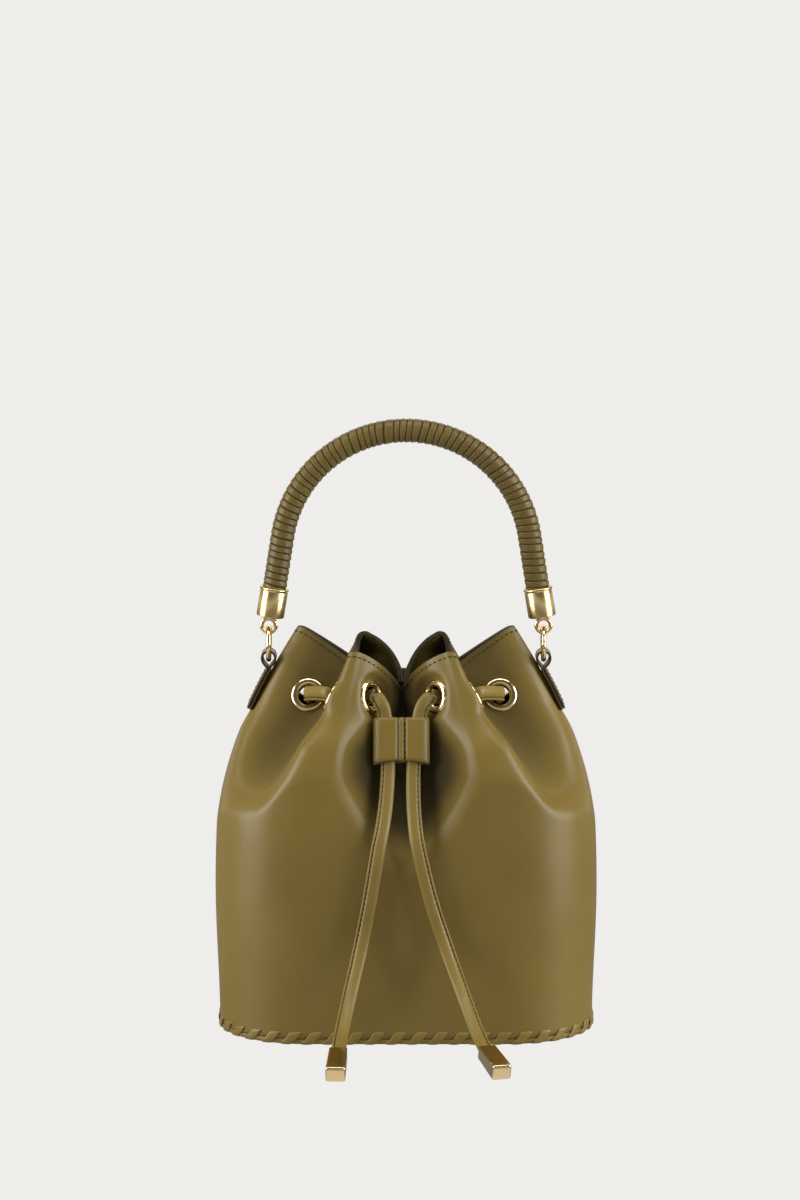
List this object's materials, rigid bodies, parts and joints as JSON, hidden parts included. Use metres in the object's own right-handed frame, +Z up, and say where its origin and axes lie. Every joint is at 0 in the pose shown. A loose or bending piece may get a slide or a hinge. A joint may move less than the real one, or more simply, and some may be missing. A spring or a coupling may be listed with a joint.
{
  "type": "drawstring bucket bag",
  "caption": "Leather bucket bag with a gathered drawstring mouth, metal eyelets, a two-tunnel slider, metal-capped strap ends, a whip-stitched base and a wrapped rope top handle on rings.",
  "frame": {"origin": "centre of the base, on the surface the bag stands on", "axes": "+X to the right of the front view, the front faces -Y, +Z up"},
  "size_m": [0.2108, 0.2118, 0.3395],
  "materials": {
    "leather": "smooth olive leather, soft sheen",
    "leather_edge": "olive leather lace and straps, slightly darker",
    "facing": "dark suede side of the leather",
    "lining": "dark woven cloth",
    "board": "pressed fibre board",
    "gold": "polished pale gold plating",
    "rope": "cotton rope"
  },
  "bodies": {
    "bag": {"front_panel": "leather", "back_panel": "leather", "mouth_facing": "facing", "lining": "lining", "base_panel": "leather", "base_board": "board", "base_lacing": "leather_edge", "front_eyelets": "gold", "back_eyelets": "gold", "front_washers": "gold", "back_washers": "gold", "drawstring_loop": "leather_edge", "drawstring_tail_left": "leather_edge", "drawstring_tail_right": "leather_edge", "end_cap_left": "gold", "end_cap_right": "gold", "side_tab_left": "leather_edge", "side_tab_right": "leather_edge"},
    "slider": {"slider": "leather"},
    "left_ring": {"ring_left": "gold"},
    "right_ring": {"ring_right": "gold"},
    "handle": {"ferrule_eye_left": "gold", "ferrule_eye_right": "gold", "ferrule_left": "gold", "ferrule_right": "gold", "handle_core": "rope", "handle_wrap": "leather_edge"}
  },
  "joints": [
    {"name": "handle_swing", "type": "hinge", "parent": "bag", "child": "handle", "pos_m": [0, 0, 0.2141], "axis": [1, 0, 0], "range_deg": [-100, 100]},
    {"name": "ring_left_turn", "type": "hinge", "parent": "bag", "child": "left_ring", "pos_m": [-0.0763, 0, 0.2141], "axis": [1, 0, 0], "range_deg": [-100, 100]},
    {"name": "ring_right_turn", "type": "hinge", "parent": "bag", "child": "right_ring", "pos_m": [0.0763, 0, 0.2141], "axis": [1, 0, 0], "range_deg": [-100, 100]},
    {"name": "slider_slide", "type": "slide", "parent": "bag", "child": "slider", "axis": [0, -0.342, -0.9397], "range_m": [0, 0.015]}
  ],
  "couplings": [
    {"joint": "ring_left_turn", "follows": "handle_swing", "ratio": 1},
    {"joint": "ring_right_turn", "follows": "handle_swing", "ratio": 1}
  ]
}
